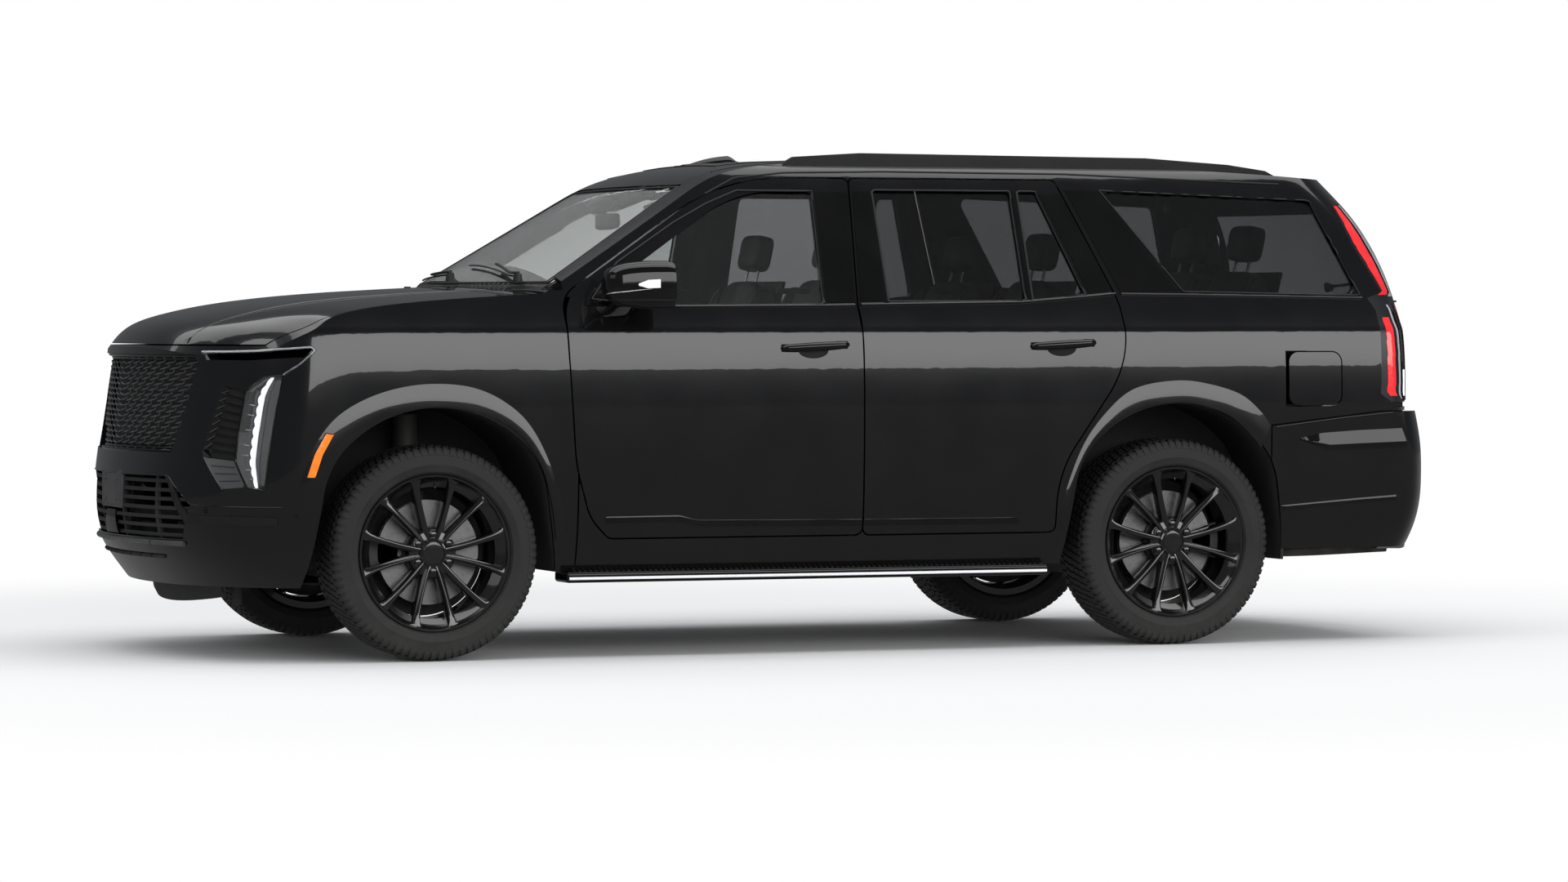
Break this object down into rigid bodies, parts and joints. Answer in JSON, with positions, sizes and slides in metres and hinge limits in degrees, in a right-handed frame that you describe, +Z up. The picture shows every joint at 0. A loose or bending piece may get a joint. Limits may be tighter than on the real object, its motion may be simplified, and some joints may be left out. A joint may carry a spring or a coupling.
{
  "type": "sport utility vehicle",
  "caption": "Full-size luxury SUV with steered front wheels, hinged side doors, a lifting hood and tailgate, and an open cabin with three rows of seats.",
  "frame": {"origin": "on the ground under the middle of the vehicle's overall length and width", "axes": "+X rearwards along the length, the front at -X; +Y to the vehicle's right; +Z up"},
  "size_m": [5.3646, 2.372, 1.949],
  "materials": {
    "body_paint": "gloss",
    "glass": "gloss",
    "lamp": "gloss",
    "tyre": "matte",
    "wheel": "gloss black",
    "seat_leather": "satin",
    "cabin_trim": "satin",
    "chassis_steel": "satin",
    "engine_alloy": "cast",
    "black_plastic": "satin",
    "floor_steel": "satin"
  },
  "bodies": {
    "body": {"body_side_left": "body_paint", "body_side_right": "body_paint", "chassis_frame": "chassis_steel", "cowl": "black_plastic", "dashboard": "cabin_trim", "engine": "engine_alloy", "fender_left": "body_paint", "fender_right": "body_paint", "firewall": "floor_steel", "floor_pan": "floor_steel", "front_bumper": "body_paint", "front_seats": "seat_leather", "front_structure": "chassis_steel", "front_suspension": "chassis_steel", "grille": "black_plastic", "headlamps": "lamp", "hitch_receiver": "chassis_steel", "lower_grille": "black_plastic", "quarter_glass": "glass", "rear_axle": "chassis_steel", "rear_bumper": "body_paint", "rear_calipers": "chassis_steel", "roof": "body_paint", "roof_rails": "body_paint", "running_boards": "body_paint", "second_row_seats": "seat_leather", "side_vents": "black_plastic", "tail_lamps": "lamp", "third_row_seat": "seat_leather", "wheel_liners": "black_plastic", "windshield": "glass"},
    "hood": {"hood": "body_paint"},
    "liftgate": {"liftgate": "body_paint", "liftgate_glass": "glass", "spoiler": "body_paint"},
    "front_door_left": {"front_door_left": "body_paint", "front_glass_left": "glass", "mirror_left": "body_paint"},
    "front_door_right": {"front_door_right": "body_paint", "front_glass_right": "glass", "mirror_right": "body_paint"},
    "rear_door_left": {"rear_door_left": "body_paint", "rear_glass_left": "glass"},
    "rear_door_right": {"rear_door_right": "body_paint", "rear_glass_right": "glass"},
    "knuckle_left": {"knuckle_left": "chassis_steel"},
    "knuckle_right": {"knuckle_right": "chassis_steel"},
    "steering_wheel": {"steering_wheel": "cabin_trim"},
    "fuel_door": {"fuel_door": "body_paint"},
    "wheel_front_left": {"rim_front_left": "wheel", "tyre_front_left": "tyre"},
    "wheel_front_right": {"rim_front_right": "wheel", "tyre_front_right": "tyre"},
    "wheel_rear_left": {"rim_rear_left": "wheel", "tyre_rear_left": "tyre"},
    "wheel_rear_right": {"rim_rear_right": "wheel", "tyre_rear_right": "tyre"}
  },
  "joints": [
    {"name": "front_door_left_hinge", "type": "hinge", "parent": "body", "child": "front_door_left", "pos_m": [-1.20798, -0.992, 0.9], "axis": [0, 0, -1], "range_deg": [0, 65]},
    {"name": "front_door_right_hinge", "type": "hinge", "parent": "body", "child": "front_door_right", "pos_m": [-1.20798, 0.992, 0.9], "axis": [0, 0, 1], "range_deg": [0, 65]},
    {"name": "rear_door_left_hinge", "type": "hinge", "parent": "body", "child": "rear_door_left", "pos_m": [0.02602, -0.996, 0.9], "axis": [0, 0, -1], "range_deg": [0, 65]},
    {"name": "rear_door_right_hinge", "type": "hinge", "parent": "body", "child": "rear_door_right", "pos_m": [0.02602, 0.996, 0.9], "axis": [0, 0, 1], "range_deg": [0, 65]},
    {"name": "hood_hinge", "type": "hinge", "parent": "body", "child": "hood", "pos_m": [-1.22498, 0, 1.374], "axis": [0, 1, 0], "range_deg": [0, 50]},
    {"name": "liftgate_hinge", "type": "hinge", "parent": "body", "child": "liftgate", "pos_m": [2.02402, 0, 1.836], "axis": [0, -1, 0], "range_deg": [0, 85]},
    {"name": "steer_left", "type": "hinge", "parent": "body", "child": "knuckle_left", "pos_m": [-1.66998, -0.78, 0.41], "axis": [0, 0, 1], "range_deg": [-30, 30]},
    {"name": "steer_right", "type": "hinge", "parent": "body", "child": "knuckle_right", "pos_m": [-1.66998, 0.78, 0.41], "axis": [0, 0, 1], "range_deg": [-30, 30]},
    {"name": "steering_wheel_turn", "type": "hinge", "parent": "body", "child": "steering_wheel", "pos_m": [-0.56125, -0.43, 1.25214], "axis": [0.9131, 0, 0.4078], "range_deg": [-480, 480]},
    {"name": "fuel_door_hinge", "type": "hinge", "parent": "body", "child": "fuel_door", "pos_m": [1.92402, -0.99764, 1.056], "axis": [0, 0, -1], "range_deg": [0, 85]},
    {"name": "spin_front_left", "type": "hinge", "parent": "knuckle_left", "child": "wheel_front_left", "pos_m": [-1.66998, -0.87, 0.41], "axis": [0, 1, 0], "continuous": true},
    {"name": "spin_front_right", "type": "hinge", "parent": "knuckle_right", "child": "wheel_front_right", "pos_m": [-1.66998, 0.87, 0.41], "axis": [0, 1, 0], "continuous": true},
    {"name": "spin_rear_left", "type": "hinge", "parent": "body", "child": "wheel_rear_left", "pos_m": [1.40102, -0.87, 0.41], "axis": [0, 1, 0], "continuous": true},
    {"name": "spin_rear_right", "type": "hinge", "parent": "body", "child": "wheel_rear_right", "pos_m": [1.40102, 0.87, 0.41], "axis": [0, 1, 0], "continuous": true}
  ],
  "couplings": [
    {"joint": "steer_right", "follows": "steer_left", "ratio": 1},
    {"joint": "steering_wheel_turn", "follows": "steer_left", "ratio": 16}
  ]
}
